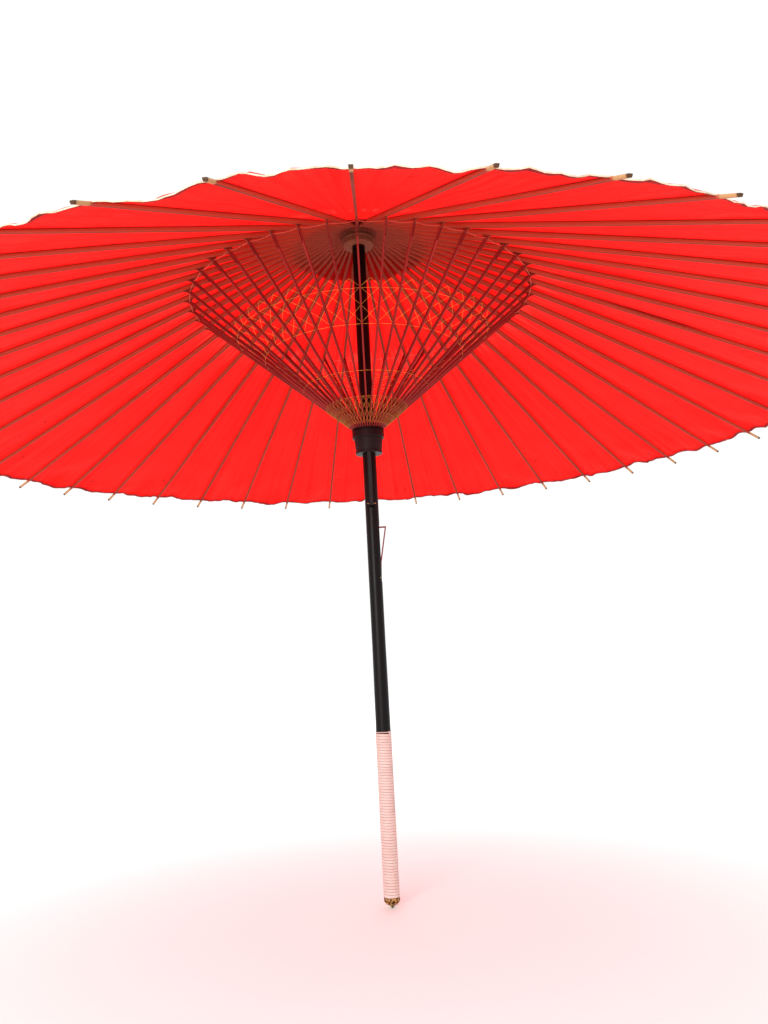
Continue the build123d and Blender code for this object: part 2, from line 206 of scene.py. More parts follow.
def oiledPaper(name, thin, thick, through, share, rough, worn=False):
    # Mulberry paper, dyed, pasted and oiled: light comes through it, it has a soft oily sheen,
    # long pulp clouds and fine pleat lines that run out from the crown.
    material, tree = newMaterial(name)
    place, polar, angle, reach = aroundPole(tree)
    pleats = addNode(tree, "ShaderNodeMapping", Vector=polar, Scale=(75, 2.5, 0))  # a line in about 5 mm near the hem
    pleats = addNode(tree, "ShaderNodeTexNoise", Vector=pleats, Scale=1.0, Detail=4.0, Roughness=0.55)
    cloud = addNode(tree, "ShaderNodeTexNoise", Vector=place, Scale=28.0, Detail=5.0, Roughness=0.55)  # about 35 mm
    fibre = addNode(tree, "ShaderNodeMapping", Vector=place, Scale=(220, 900, 900))  # four times too coarse, to show
    fibre = addNode(tree, "ShaderNodeTexNoise", Vector=fibre, Scale=1.0, Detail=3.0, Roughness=0.55)
    tone = tinted(tree, thin, [
        (pleats, 0.35, 0.68, 1.0, thick), (cloud, 0.40, 0.75, 0.45, thick), (fibre, 0.56, 0.72, 0.22, thin)])
    if worn:
        tone = wornPaper(tree, tone, place, polar, angle, reach, cloud)
    raised = addNode(tree, "ShaderNodeMath", timesPlus, i0=fibre, i1=0.35, i2=pleats)
    bump = addNode(tree, "ShaderNodeBump", Height=raised, Strength=0.35, Distance=0.4 * mm)
    skin = addNode(tree, "ShaderNodeBsdfPrincipled", Base_Color=tone, Roughness=rough, IOR=1.47,
                   Specular_IOR_Level=0.12, Normal=bump)
    light = addNode(tree, "ShaderNodeMix", filtered, i0=1.0, i6=tone, i7=through)
    glow = addNode(tree, "ShaderNodeBsdfTranslucent", Color=light, Normal=bump)
    both = addNode(tree, "ShaderNodeMixShader", i0=share, i1=skin, i2=glow)
    addNode(tree, "ShaderNodeOutputMaterial", Surface=both)
    return material


def splitBamboo(name, light, dark, rough, slope, tips=None):
    # Moso bamboo split and shaved by knife: straight fibres along the stick, darker scorched streaks,
    # and a soft oiled sheen. Ribs have raw pale tips, and sides painted a lighter red: painted light for the glow the
    # red paper throws on them.
    material, tree = newMaterial(name)
    place, polar, angle, reach = aroundPole(tree)
    height = addNode(tree, "ShaderNodeSeparateXYZ", Vector=place).outputs["Z"]
    c, s = math.cos(math.radians(slope)), math.sin(math.radians(slope))
    along = addNode(tree, "ShaderNodeMath", minus, i0=addNode(tree, "ShaderNodeMath", times, i0=reach, i1=c),
                    i1=addNode(tree, "ShaderNodeMath", times, i0=height, i1=s))
    lift = addNode(tree, "ShaderNodeMath", plus, i0=addNode(tree, "ShaderNodeMath", times, i0=reach, i1=s),
                   i1=addNode(tree, "ShaderNodeMath", times, i0=height, i1=c))
    grain = addNode(tree, "ShaderNodeCombineXYZ", X=angle, Y=along, Z=lift)
    fibres = addNode(tree, "ShaderNodeMapping", Vector=grain, Scale=(520, 60, 2400))  # fibre bundles about 0.4 mm apart
    fibres = addNode(tree, "ShaderNodeTexNoise", Vector=fibres, Scale=1.0, Detail=2.0, Roughness=0.55)
    streaks = addNode(tree, "ShaderNodeMapping", Vector=grain, Scale=(160, 11, 700))  # streaks 1.4 mm wide
    streaks = addNode(tree, "ShaderNodeTexNoise", Vector=streaks, Scale=1.0, Detail=4.0, Roughness=0.55)
    tone = tinted(tree, light, [(streaks, 0.33, 0.68, 1.0, dark), (fibres, 0.52, 0.75, 0.35, dark)])
    if tips:
        number = addNode(tree, "ShaderNodeMath", divided, i0=angle, i1=stepAngle)
        nearest = addNode(tree, "ShaderNodeMath", {"operation": "ROUND"}, i0=number)
        side = addNode(tree, "ShaderNodeMath", minus, i0=number, i1=nearest)
        side = addNode(tree, "ShaderNodeMath", times, i0=side, i1=stepAngle)
        side = addNode(tree, "ShaderNodeMath", times, i0=side, i1=reach)
        side = addNode(tree, "ShaderNodeMath", unsigned, i0=side)
        # the sides of each rib are painted a lighter red: painted light standing for the glow of the red paper, not a
        # dye
        tone = tinted(tree, tone, [
            (side, 0.9 * mm, 1.1 * mm, 0.85, tips["sides"]),
            (reach, tips["start"], tips["start"] + 3 * mm, 1.0, tips["raw"]),
            (reach, tips["start"] + 13 * mm, tips["start"] + 14.5 * mm, 1.0, tips["burnt"])])
    bump = addNode(tree, "ShaderNodeBump", Height=streaks, Strength=0.3, Distance=0.15 * mm)
    skin = addNode(tree, "ShaderNodeBsdfPrincipled", Base_Color=tone, Roughness=rough, IOR=1.5,
                   Specular_IOR_Level=0.15, Normal=bump)
    addNode(tree, "ShaderNodeOutputMaterial", Surface=skin)
    return material


def urushi(name, deep, worn, rough, coat, gloss):
    # Urushi lacquer brushed over turned wood: nearly black, a clear gloss, faint brush lines
    # up the stick and a brown-red undercoat that shows where hands have worn it.
    material, tree = newMaterial(name)
    place, polar, angle, reach = aroundPole(tree)
    brush = addNode(tree, "ShaderNodeMapping", Vector=polar, Scale=(9, 0, 6))
    brush = addNode(tree, "ShaderNodeTexNoise", Vector=brush, Scale=1.0, Detail=4.0, Roughness=0.55)
    rubs = addNode(tree, "ShaderNodeMapping", Vector=place, Scale=(60, 60, 22))  # rubbed patches 17 mm by 45 mm
    rubs = addNode(tree, "ShaderNodeTexNoise", Vector=rubs, Scale=1.0, Detail=5.0, Roughness=0.55)
    tone = tinted(tree, deep, [(brush, 0.45, 0.8, 0.5, worn), (rubs, 0.62, 0.8, 0.6, worn)])
    bump = addNode(tree, "ShaderNodeBump", Height=brush, Strength=0.15, Distance=0.2 * mm)
    dull = addNode(tree, "ShaderNodeMapRange", smooth, Value=rubs, From_Min=0.3, From_Max=0.8, To_Min=rough,
                   To_Max=rough + 0.16)
    skin = addNode(tree, "ShaderNodeBsdfPrincipled", Base_Color=tone, Roughness=dull, IOR=1.52,
                   Specular_IOR_Level=gloss, Coat_Weight=coat, Coat_Roughness=0.15, Normal=bump)
    addNode(tree, "ShaderNodeOutputMaterial", Surface=skin)
    return material


def twistedSilk(name, light, dark):
    # Silk floss, twisted: a warm lustre with darker lines between its plies.
    material, tree = newMaterial(name)
    place = addNode(tree, "ShaderNodeTexCoord").outputs["Object"]
    plies = addNode(tree, "ShaderNodeTexNoise", Vector=place, Scale=1100.0, Detail=1.0, Roughness=0.55)  # about 0.9 mm
    fade = addNode(tree, "ShaderNodeTexNoise", Vector=place, Scale=45.0, Detail=3.0, Roughness=0.55)  # about 22 mm
    tone = tinted(tree, light, [(plies, 0.42, 0.66, 1.0, dark), (fade, 0.5, 0.75, 0.5, dark)])
    skin = addNode(tree, "ShaderNodeBsdfPrincipled", Base_Color=tone, Roughness=0.55, Specular_IOR_Level=0.2,
                   Sheen_Weight=0.05)
    addNode(tree, "ShaderNodeOutputMaterial", Surface=skin)
    return material


def splitCane(name, light, pink, poreAndGrooveShade):
    # Rattan core split flat and wound on tight: satin, pale, with fine pores along each turn, and painted shade in the
    # grooves between turns.
    material, tree = newMaterial(name)
    place, polar, angle, reach = aroundPole(tree)
    pores = addNode(tree, "ShaderNodeMapping", Vector=polar, Scale=(7, 0, 1600))  # pores about 0.6 mm apart
    pores = addNode(tree, "ShaderNodeTexNoise", Vector=pores, Scale=1.0, Detail=4.0, Roughness=0.55)
    patches = addNode(tree, "ShaderNodeMapping", Vector=place, Scale=(55, 55, 90))
    patches = addNode(tree, "ShaderNodeTexNoise", Vector=patches, Scale=1.0, Detail=3.0, Roughness=0.55)
    # the last layer darkens the cane where it dips in below 8 mm from the pole, in the grooves between turns: painted
    # shade
    tone = tinted(tree, light, [
        (patches, 0.3, 0.8, 0.6, pink), (pores, 0.5, 0.75, 0.35, poreAndGrooveShade), (reach, 8.2 * mm, 7.8 * mm, 0.7, poreAndGrooveShade)])
    bump = addNode(tree, "ShaderNodeBump", Height=pores, Strength=0.3, Distance=0.12 * mm)
    skin = addNode(tree, "ShaderNodeBsdfPrincipled", Base_Color=tone, Roughness=0.48, IOR=1.5, Normal=bump)
    addNode(tree, "ShaderNodeOutputMaterial", Surface=skin)
    return material


def castBrass(name, bright, dull, rough):
    # Yellow brass, cast and polished by hand: bright on the lobes, brown tarnish in the hollows.
    material, tree = newMaterial(name)
    place = addNode(tree, "ShaderNodeTexCoord").outputs["Object"]
    tarnish = addNode(tree, "ShaderNodeTexNoise", Vector=place, Scale=420.0, Detail=4.0, Roughness=0.55)  # about 2.4 mm
    fine = addNode(tree, "ShaderNodeMapping", Vector=place, Scale=(1800, 1800, 500))  # polishing lines 0.6 mm apart
    fine = addNode(tree, "ShaderNodeTexNoise", Vector=fine, Scale=1.0, Detail=2.0, Roughness=0.55)
    tone = tinted(tree, bright, [(tarnish, 0.38, 0.60, 1.0, dull)])
    bump = addNode(tree, "ShaderNodeBump", Height=fine, Strength=0.15, Distance=0.05 * mm)
    matt = addNode(tree, "ShaderNodeMapRange", smooth, Value=tarnish, From_Min=0.35, From_Max=0.7, To_Min=rough,
                   To_Max=rough + 0.25)
    skin = addNode(tree, "ShaderNodeBsdfPrincipled", Base_Color=tone, Metallic=1.0, Roughness=matt, Normal=bump)
    addNode(tree, "ShaderNodeOutputMaterial", Surface=skin)
    return material


# sides is painted light: the colour put on the rib sides to stand for the glow the red paper throws on them
tips = dict(start=0.5095, raw="#B98B5E", burnt="#4E3320", sides="#B94C35")
canopyPaper = oiledPaper("oiled mulberry paper red", "#FF241E", "#EC1412", "#FFE7E7", 0.66, 0.42, worn=True)
hemPaper = oiledPaper("oiled mulberry paper folded double", "#B01A18", "#7E1216", "#DABCBC", 0.25, 0.5)
# the fold of the hem is real paper; its cream colour is painted highlight for the light along the folded edge
hemFoldHighlight = oiledPaper("folded paper edge painted pale as lit", "#F3E2CC", "#D9BC9C", "#FFF3E7", 0.2, 0.7)
hoodPaper = oiledPaper("lacquered mulberry paper brown", "#7A4030", "#54281E", "#FFEDE1", 0.5, 0.4)
ribBamboo = splitBamboo("split bamboo knife shaved", "#8E3525", "#66271A", 0.55, ribs["slope"], tips)
armBamboo = splitBamboo("split bamboo crimson lacquered", "#A22B26", "#6C1A17", 0.5, arms["slope"])
catchBamboo = splitBamboo("bamboo strip lacquered dark red", "#96383A", "#4A1716", 0.4, 85.0)
poleLacquer = urushi("urushi lacquer black", "#070505", "#241110", 0.3, 0.04, 0.12)
runnerLacquer = urushi("urushi lacquer black on turned boxwood", "#100809", "#2E1011", 0.4, 0.0, 0.2)
hubLacquer = urushi("urushi lacquer brown on turned boxwood", "#7A4230", "#96573E", 0.6, 0.0, 0.1)
goldSilk = twistedSilk("twisted silk gold", "#EBA23E", "#B9752C")
# a darker copy of the gold silk, used for the dense net close to the runner
darkSilk = twistedSilk("twisted silk gold darker by the runner", "#B88030", "#74481A")
fadedSilk = twistedSilk("twisted silk faded red", "#D96A55", "#A84436")
rattan = splitCane("split rattan cane wound", "#D2BEB6", "#C6A89E", "#9C8479")
capBrass = castBrass("cast brass polished", "#C6A468", "#453019", 0.3)
pinBrass = castBrass("drawn brass pin filed flush", "#E2C58A", "#9C7A45", 0.3)
print("materials made")

# mesh helpers


def meshObject(name, mesh, materials):
    piece = bpy.data.objects.new(name, mesh)
    scene.collection.objects.link(piece)
    for material in materials:
        mesh.materials.append(material)
    return piece


def slab(points, width, middle):
    # a flat outline in (along, lift) made a slab that is width thick
    n = len(points)
    corners = [(x, middle + side * width / 2, z) for side in (-1, 1) for x, z in points]
    faces = [tuple(range(n)), tuple(range(2 * n - 1, n - 1, -1))]
    faces += [(i, i + n, (i + 1) % n + n, (i + 1) % n) for i in range(n)]
    return corners, faces


def arc(middleAlong, middleLift, radius, first, last, steps):
    turns = [math.radians(first + (last - first) * i / steps) for i in range(steps + 1)]
    return [(middleAlong + radius * math.cos(turn), middleLift + radius * math.sin(turn)) for turn in turns]


def slabMesh(name, stick, slabs):
    # slabs are (points along and lift, width, middle across, material number)
    corners, faces, finishes = [], [], []
    for points, width, middle, number in slabs:
        c, f = slab(points, width, middle)
        start = len(corners)
        corners += [stickPoint(stick, *p) for p in c]
        faces += [tuple(i + start for i in face) for face in f]
        finishes += [number] * len(f)
    mesh = bpy.data.meshes.new(name)
    mesh.from_pydata([tuple(c) for c in corners], [], faces)
    mesh.polygons.foreach_set("material_index", finishes)
    return mesh


def outwards(mesh):
    shape = bmesh.new()
    shape.from_mesh(mesh)
    bmesh.ops.remove_doubles(shape, verts=shape.verts, dist=1e-7)
    bmesh.ops.recalc_face_normals(shape, faces=shape.faces)
    shape.to_mesh(mesh)
    shape.free()


def joined(name, meshes):
    shape = bmesh.new()
    for mesh in meshes:
        shape.from_mesh(mesh)
    mesh = bpy.data.meshes.new(name)
    shape.to_mesh(mesh)
    shape.free()
    return mesh


# Geometry Nodes trees


def newTree(name, sockets):
    tree = bpy.data.node_groups.new(name, "GeometryNodeTree")
    tree.interface.new_socket("Geometry", in_out="INPUT", socket_type="NodeSocketGeometry")
    tree.interface.new_socket("Geometry", in_out="OUTPUT", socket_type="NodeSocketGeometry")
    for label, kind, value in sockets:
        socket = tree.interface.new_socket(label, in_out="INPUT", socket_type="NodeSocket" + kind)
        if value is not None:
            socket.default_value = value
    return tree, tree.nodes.new("NodeGroupInput").outputs


def endTree(tree, given, geometry):
    real = addNode(tree, "GeometryNodeRealizeInstances", Geometry=geometry)
    painted = addNode(tree, "GeometryNodeSetMaterial", Geometry=real, Material=given["Finish"])
    addNode(tree, "NodeGroupOutput", Geometry=painted)


def plainMesh(name, start, tree, values):
    # the tree's result on a start mesh, as a plain mesh with no modifier
    carrier = bpy.data.objects.new(name, start)
    scene.collection.objects.link(carrier)
    modifier = carrier.modifiers.new("made", "NODES")
    modifier.node_group = tree
    for item in tree.interface.items_tree:
        if item.item_type == "SOCKET" and item.in_out == "INPUT" and item.name in values:
            modifier[item.identifier] = values[item.name]
    bpy.context.view_layer.update()
    mesh = bpy.data.meshes.new_from_object(carrier.evaluated_get(bpy.context.evaluated_depsgraph_get()))
    bpy.data.objects.remove(carrier)
    return mesh


# a thread is swept along each loose edge run of its start mesh
threadTree, given = newTree("thread", [
    ("Thickness", "Float", 0.6 * mm), ("Sides", "Int", 5), ("Finish", "Material", None)])
line = addNode(threadTree, "GeometryNodeMeshToCurve", Mesh=given["Geometry"])
half = addNode(threadTree, "ShaderNodeMath", divided, i0=given["Thickness"], i1=2.0)
section = addNode(threadTree, "GeometryNodeCurvePrimitiveCircle", Resolution=given["Sides"], Radius=half)
swept = addNode(threadTree, "GeometryNodeCurveToMesh", Curve=line, Profile_Curve=section, Fill_Caps=True)
endTree(threadTree, given, swept)

# a stick is a slightly rounded trapezium swept from its pivot outwards, then laid at its slope
stickTree, given = newTree("stick", [
    ("Start", "Float", 0.0), ("End", "Float", 0.1), ("Width Under", "Float", 2 * mm), ("Width Upper", "Float", 2 * mm),
    ("Height", "Float", 3 * mm), ("Middle", "Float", 0.0), ("Rounding", "Float", 0.3 * mm), ("Stations", "Int", 24),
    ("Swelling", "Float", 0.02), ("Taper", "Float", 0.0), ("Taper From", "Float", 1.0), ("Slope", "Float", 0.0),
    ("Pivot", "Vector", (0, 0, 0)), ("Finish", "Material", None)])
first = addNode(stickTree, "ShaderNodeCombineXYZ", X=given["Start"], Z=given["Middle"])
last = addNode(stickTree, "ShaderNodeCombineXYZ", X=given["End"], Z=given["Middle"])
path = addNode(stickTree, "GeometryNodeCurvePrimitiveLine", Start=first, End=last)
path = addNode(stickTree, "GeometryNodeResampleCurve", Curve=path, Count=given["Stations"])
where = addNode(stickTree, "GeometryNodeInputPosition")
swell = addNode(stickTree, "ShaderNodeTexNoise", Vector=where, Scale=38.0, Detail=1.0)  # a swelling each 26 mm or so
swell = addNode(stickTree, "ShaderNodeMath", minus, i0=swell, i1=0.5)
swell = addNode(stickTree, "ShaderNodeMath", timesPlus, i0=swell, i1=given["Swelling"], i2=1.0)
outline = addNode(stickTree, "GeometryNodeCurvePrimitiveQuadrilateral", {"mode": "TRAPEZOID"}, Height=given["Height"],
                  Top_Width=given["Width Under"], Bottom_Width=given["Width Upper"], Offset=0.0)
outline = addNode(stickTree, "GeometryNodeFilletCurve", Curve=outline, Radius=given["Rounding"])
swept = addNode(stickTree, "GeometryNodeCurveToMesh", Curve=path, Profile_Curve=outline, Scale=swell, Fill_Caps=True)
spot = addNode(stickTree, "ShaderNodeSeparateXYZ", Vector=where)
thinner = addNode(stickTree, "ShaderNodeMapRange", Value=spot.outputs["X"], From_Min=given["Taper From"],
                  From_Max=given["End"], To_Min=0.0, To_Max=given["Taper"])
back = addNode(stickTree, "ShaderNodeMath", timesPlus, i0=given["Height"], i1=0.5, i2=given["Middle"])
raised = addNode(stickTree, "ShaderNodeMath", minus, i0=back, i1=spot.outputs["Z"])
raised = addNode(stickTree, "ShaderNodeMath", times, i0=raised, i1=thinner)
raised = addNode(stickTree, "ShaderNodeCombineXYZ", Z=raised)  # the back stays straight against the paper
swept = addNode(stickTree, "GeometryNodeSetPosition", Geometry=swept, Offset=raised)
turn = addNode(stickTree, "ShaderNodeCombineXYZ", Y=given["Slope"])
laid = addNode(stickTree, "GeometryNodeTransform", Geometry=swept, Translation=given["Pivot"], Rotation=turn)
endTree(stickTree, given, laid)

# cane wound round the grip
caneTree, given = newTree("wound cane", [
    ("Turns", "Float", 59.0), ("Radius", "Float", 8 * mm), ("Height", "Float", 0.165), ("Foot", "Float", 0.01),
    ("Cane Width", "Float", 2.7 * mm), ("Cane Thickness", "Float", 0.8 * mm), ("Finish", "Material", None)])
coil = addNode(caneTree, "GeometryNodeCurveSpiral", Resolution=36, Rotations=given["Turns"],
               Start_Radius=given["Radius"], End_Radius=given["Radius"], Height=given["Height"])
coil = addNode(caneTree, "GeometryNodeSetCurveNormal", {"mode": "Z_UP"}, Curve=coil)
oval = addNode(caneTree, "GeometryNodeCurvePrimitiveCircle", Resolution=10, Radius=0.5)
ovalSize = addNode(caneTree, "ShaderNodeCombineXYZ", X=given["Cane Thickness"], Y=given["Cane Width"], Z=1.0)
oval = addNode(caneTree, "GeometryNodeTransform", Geometry=oval, Scale=ovalSize)
wound = addNode(caneTree, "GeometryNodeCurveToMesh", Curve=coil, Profile_Curve=oval, Fill_Caps=True)
footPlace = addNode(caneTree, "ShaderNodeCombineXYZ", Z=given["Foot"])
wound = addNode(caneTree, "GeometryNodeTransform", Geometry=wound, Translation=footPlace)
endTree(caneTree, given, wound)
print("node trees made")


def stickMesh(name, stick, end, widths, lifts, look, material):
    (under, upper), (bottom, top) = widths, lifts
    return plainMesh(name, bpy.data.meshes.new(name), stickTree, {
        "Start": stick["start"], "End": end, "Width Under": under, "Width Upper": upper, "Height": top - bottom,
        "Middle": (top + bottom) / 2, "Rounding": look["rounding"], "Swelling": look["swelling"],
        "Taper": look["taper"], "Taper From": look["taperFrom"], "Slope": math.radians(stick["slope"]),
        "Pivot": (stick["pivotRadius"], 0, stick["pivotHeight"]), "Finish": material})


def threadMesh(name, runs, thickness, material, sides=5):
    # runs are lists of points that one thread each passes through
    points, edges = [], []
    for run in runs:
        start = len(points)
        points += [tuple(p) for p in run]
        edges += [(start + i, start + i + 1) for i in range(len(run) - 1)]
    mesh = bpy.data.meshes.new(name)
    mesh.from_pydata(points, edges, [])
    return plainMesh(name, mesh, threadTree, {"Thickness": thickness, "Sides": sides, "Finish": material})


def withFinishes(mesh, order):
    # face material numbers that follow order, whatever the mesh was made with
    names = [m.name if m else "" for m in mesh.materials]
    numbers = [0] * len(mesh.polygons)
    mesh.polygons.foreach_get("material_index", numbers)
    wanted = [m.name for m in order]
    mesh.materials.clear()
    numbers = [wanted.index(names[n]) if n < len(names) and names[n] in wanted else n for n in numbers]
    mesh.polygons.foreach_set("material_index", numbers)
    return mesh


def fanned(master, name, bodies, materials, azimuths):
    # a copy of the master for each azimuth, each riding on its own body
    pieces = []
    for number, (body, azimuth) in enumerate(zip(bodies, azimuths)):
        mesh = master.copy()
        mesh.transform(Matrix.Rotation(azimuth, 4, "Z"))
        piece = meshObject(f"{name}_{number + 1:02d}", mesh, materials)
        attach(piece, body)
        pieces.append(piece)
    return pieces


azimuths = [k * stepAngle for k in range(ribs["count"])]

# ribs: shaved stick, a tongue in the hub, a tenon for the stretcher, the paper strip glued along the back

ribLook = dict(rounding=0.3 * mm, swelling=0.03, taper=0.55, taperFrom=203.34 * mm,
               stripStart=6 * mm, stripEnd=539 * mm, stripWidth=2.7 * mm, stripLow=6.62 * mm, stripHigh=6.86 * mm,
               tongueRound=2.1 * mm, tenonLong=7 * mm, tenonRound=2.2 * mm, tenonTop=2.5 * mm)

tongue = [(9 * mm, 4.4 * mm), (1.9 * mm, 5.4 * mm), (-1.5 * mm, 1.4 * mm)]
tongue += arc(0, 0, ribLook["tongueRound"], 150, 270, 6) + arc(0, 0, ribLook["tongueRound"], 275, 320, 3)
tongue += [(4.6 * mm, 2.1 * mm), (9 * mm, 2.1 * mm)]
jointAt, jointLow = ribs["jointAlong"], -ribs["jointDrop"]
tenon = [(jointAt + ribLook["tenonLong"], ribLook["tenonTop"]), (jointAt - ribLook["tenonLong"], ribLook["tenonTop"])]
tenon += arc(jointAt, jointLow, ribLook["tenonRound"], 180, 360, 10)
strip = [(ribLook["stripStart"], ribLook["stripLow"]), (ribLook["stripEnd"], ribLook["stripLow"]),
         (ribLook["stripEnd"], ribLook["stripHigh"]), (ribLook["stripStart"], ribLook["stripHigh"])]
ribSlabs = slabMesh("rib slabs", ribs, [
    (tongue, ribs["tongue"], 0.0, 0), (tenon, ribs["tenon"], 0.0, 0), (strip, ribLook["stripWidth"], 0.0, 1)])
ribStick = stickMesh("rib stick", ribs, ribs["length"], (ribs["widthUnder"], ribs["widthUpper"]),
                     (ribs["under"], ribs["upper"]), ribLook, ribBamboo)
withFinishes(ribStick, [ribBamboo, hemPaper])
ribMaster = joined("rib master", [ribStick, ribSlabs])
outwards(ribMaster)
ribPieces = fanned(ribMaster, "shavedRib", ribNames, [ribBamboo, hemPaper], azimuths)
for piece, name in zip(ribPieces, ribNames):
    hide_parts(name)
print("ribs made")

# canopy: one gore of paper for each rib, from mid bay to mid bay, with its folded hem and its threads

gore = dict(start=6 * mm, end=540.7 * mm, lift=7.15 * mm, rows=52, columns=8, sag=0.8 * mm, ripple=0.8 * mm,
            flutter=6.5 * mm, ragged=3.4 * mm, scallop=4.2 * mm, keep=0.047, hemRadius=506 * mm, hubRadius=22 * mm,
            jointThread=0.7 * mm, jointSag=1.6 * mm, hemThread=0.6 * mm)


def goreHeights(along, across, k):
    share = along / gore["end"]
    bay = k if across >= 0 else (k - 1) % ribs["count"]
    random.seed(400 + bay)
    slack = gore["sag"] * random.uniform(0.75, 1.25)
    u = abs(across)
    dip = slack * (2 * u - u * u) * share ** 1.6
    spot = spanPoint(along, across, 0.0, azimuths[k])
    free = min(1.0, u * 3) ** 2
    ripple = gore["ripple"] * noise.noise(spot * 34) + 0.35 * gore["ripple"] * noise.noise(spot * 110)
    flutter = gore["flutter"] * (noise.noise(spot * 24) + 0.4 * noise.noise(spot * 75)) * share ** 9
    return -dip + free * (ripple * share + flutter)


def goreEnd(across, k):
    spot = spanPoint(gore["end"], across, 0.0, azimuths[k])
    free = min(1.0, abs(across) * 4)
    bay = k if across >= 0 else (k - 1) % ribs["count"]
    random.seed(900 + bay)
    inBay = (across if across >= 0 else across + 2) / 2
    bulge = gore["scallop"] * random.uniform(0.3, 1.3) * math.sin(math.pi * inBay ** random.uniform(0.55, 1.3))
    torn = gore["ragged"] * (noise.noise(spot * 60) + 0.6 * noise.noise(spot * 170))
    return gore["end"] + bulge + free * torn - 1.4 * mm * free


def goreMesh(k):
    points, faces, numbers = [], [], []
    columns = [c / gore["columns"] for c in range(-gore["columns"], gore["columns"] + 1)]
    hem = [(0.0, 0.0), (0.35 * mm, -0.35 * mm), (0.3 * mm, -0.95 * mm), (-0.6 * mm, -1.25 * mm), (-3.6 * mm, -1.0 * mm)]
    for row in range(gore["rows"] + len(hem)):
        for across in columns:
            end = goreEnd(across, k)
            if row < gore["rows"]:
                share = (row / gore["rows"]) ** 0.9
                along, drop = gore["start"] + (end - gore["start"]) * share, 0.0
            else:
                out, drop = hem[row - gore["rows"]]
                along = end + out
            lift = gore["lift"] + goreHeights(min(along, end), across, k) + drop
            points.append(tuple(spanPoint(along, across, lift, azimuths[k])))
    width = len(columns)
    for row in range(gore["rows"] + len(hem) - 1):
        for c in range(width - 1):
            a = row * width + c
            faces.append((a, a + width, a + width + 1, a + 1))
            past = row - gore["rows"]
            # the first two hem rows, the outer curl of the fold, take the cream finish: painted highlight
            numbers.append(0 if past < 0 else 2 if past < 2 else 1)
    mesh = bpy.data.meshes.new(f"gore {k}")
    mesh.from_pydata(points, [], faces)
    mesh.polygons.foreach_set("material_index", numbers)
    mesh.polygons.foreach_set("use_smooth", [True] * len(faces))
    return mesh


def jointRun(steps=5):
    # the thread through the joints, from mid bay over one rib to the next mid bay, sagging a little
    run = []
    for i in range(-steps, steps + 1):
        across = i / steps
        spot = spanPoint(ribs["jointAlong"], across, -ribs["jointDrop"], 0.0)
        run.append(spot - Vector((0, 0, gore["jointSag"] * (2 * abs(across) - across * across))))
    return run


jointThread = threadMesh("joint thread", [jointRun()], gore["jointThread"], fadedSilk)
goreFinishes = [canopyPaper, hemPaper, hemFoldHighlight, fadedSilk]


def hemThread(k):
    # it lies in the fold of the hem
    run = []
    for i in range(-gore["columns"], gore["columns"] + 1):
        across = i / gore["columns"]
        end = goreEnd(across, k)
        lift = gore["lift"] + goreHeights(end, across, k) - 0.62 * mm
        run.append(spanPoint(end - 0.9 * mm, across, lift, azimuths[k]))
    return threadMesh("hem thread", [run], gore["hemThread"], fadedSilk)


for k, name in enumerate(ribNames):
    threads = jointThread.copy()
    threads.transform(Matrix.Rotation(azimuths[k], 4, "Z"))
    threads = joined("gore threads", [withFinishes(threads, goreFinishes), withFinishes(hemThread(k), goreFinishes)])
    outwards(threads)
    piece = meshObject(f"paperGore_{k + 1:02d}", joined(f"paper gore {k + 1:02d}", [goreMesh(k), threads]), goreFinishes)
    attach(piece, name)
    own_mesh(piece)
    if k == 0:
        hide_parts("canopy", "ring_threads")
print("canopy made")

# hood: brown paper over the crown, gathered at the waist, with a skirt pasted on each rib

hood = dict(lift=7.85 * mm, start=-3 * mm, end=64 * mm, ragged=3.5 * mm, keep=0.38, rows=9, columns=4,
            pleat=0.35 * mm, wideRadius=76 * mm, narrowRadius=17 * mm, gathers=0.18, crownFlat=(110 * mm, 74 * mm),
            crownArea=0.0034)


def hoodMesh(k):
    points, faces = [], []
    columns = [c / hood["columns"] for c in range(-hood["columns"], hood["columns"] + 1)]
    for row in range(hood["rows"] + 1):
        for across in columns:
            spot = spanPoint(hood["end"], across, 0.0, azimuths[k])
            end = hood["end"] + hood["ragged"] * noise.noise(spot * 45)
            along = hood["start"] + (end - hood["start"]) * row / hood["rows"]
            pleat = hood["pleat"] * abs(across) * min(1.0, max(0.0, along) / (20 * mm))
            points.append(tuple(spanPoint(along, across, hood["lift"] - pleat, azimuths[k])))
    width = len(columns)
    for row in range(hood["rows"]):
        for c in range(width - 1):
            a = row * width + c
            faces.append((a, a + width, a + width + 1, a + 1))
    mesh = bpy.data.meshes.new(f"hood skirt {k}")
    mesh.from_pydata(points, [], faces)
    mesh.polygons.foreach_set("use_smooth", [True] * len(faces))
    return mesh


for k, name in enumerate(ribNames):
    piece = meshObject(f"hoodSkirt_{k + 1:02d}", hoodMesh(k), [hoodPaper])
    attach(piece, name)
    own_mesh(piece)

